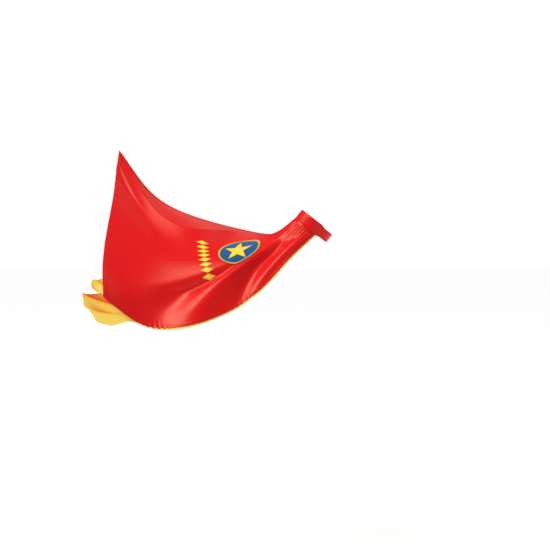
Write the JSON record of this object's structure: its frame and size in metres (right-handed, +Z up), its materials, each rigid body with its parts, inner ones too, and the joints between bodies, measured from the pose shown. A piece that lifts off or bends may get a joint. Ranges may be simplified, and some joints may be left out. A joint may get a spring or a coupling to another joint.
{
  "type": "superhero cape",
  "caption": "Child's satin costume cape held out in flight, with a neckband that closes at the throat with a hook-and-loop strap, a contrast lining and an appliqued badge.",
  "frame": {"origin": "centre of the neck opening, on the neck's axis and halfway up the neckband", "axes": "+X the way the wearer flies, from the hem towards the neck, +Y the wearer's left, +Z up"},
  "size_m": [0.7514, 0.4733, 0.5418],
  "materials": {
    "outer_satin": "red polyester satin, soft sheen",
    "lining_satin": "golden yellow polyester satin",
    "interfacing": "white non-woven stiffener",
    "hook_tape": "stiff nylon hooks",
    "loop_tape": "soft nylon loop pile",
    "sewing_thread": "red polyester thread",
    "badge_blue": "matte blue felt",
    "badge_gold": "golden yellow felt with satin-stitched edge",
    "label_satin": "white satin ribbon, blank"
  },
  "bodies": {
    "neckband": {"neckband_outer": "outer_satin", "neckband_facing": "lining_satin", "neckband_interfacing": "interfacing", "neckband_top_stitching": "sewing_thread", "neckband_seam_stitching": "sewing_thread", "loop_patch": "loop_tape", "loop_patch_stitching": "sewing_thread", "bar_tack_right": "sewing_thread", "bar_tack_left": "sewing_thread", "outer_shoulder": "outer_satin", "lining_shoulder": "lining_satin"},
    "panel": {"outer_panel": "outer_satin", "lining_panel": "lining_satin", "right_edge_stitching": "sewing_thread", "left_edge_stitching": "sewing_thread", "hem_stitching": "sewing_thread", "badge_base": "badge_blue", "badge_rim": "badge_gold", "badge_star": "badge_gold", "lozenge_1": "badge_gold", "lozenge_2": "badge_gold", "lozenge_3": "badge_gold", "lozenge_4": "badge_gold", "lozenge_5": "badge_gold", "lozenge_6": "badge_gold", "lozenge_7": "badge_gold", "lozenge_8": "badge_gold"},
    "closure_strap": {"strap_outer": "outer_satin", "strap_interfacing": "interfacing", "strap_facing": "lining_satin"},
    "closure_tab": {"tab_outer": "outer_satin", "tab_facing": "lining_satin", "hook_patch": "hook_tape", "hook_patch_stitching": "sewing_thread"},
    "label": {"care_label": "label_satin"}
  },
  "joints": [
    {"name": "panel_swing", "type": "hinge", "parent": "neckband", "child": "panel", "pos_m": [-0.143, 0, -0.06], "axis": [-0.08, 0.9405, 0.3302], "range_deg": [-45, 30], "deforming": ["outer_shoulder", "lining_shoulder"]},
    {"name": "strap_open", "type": "hinge", "parent": "neckband", "child": "closure_strap", "pos_m": [0.01298, -0.05634, -0.01014], "axis": [-0.6157, 0, -0.788], "range_deg": [0, 75]},
    {"name": "tab_peel", "type": "hinge", "parent": "closure_strap", "child": "closure_tab", "pos_m": [0.04783, -0.02539, -0.03737], "axis": [-0.6157, 0, -0.788], "range_deg": [0, 70]},
    {"name": "label_flip", "type": "hinge", "parent": "neckband", "child": "label", "pos_m": [-0.04762, 0, 0.02578], "axis": [0, -1, 0], "range_deg": [0, 80]}
  ]
}
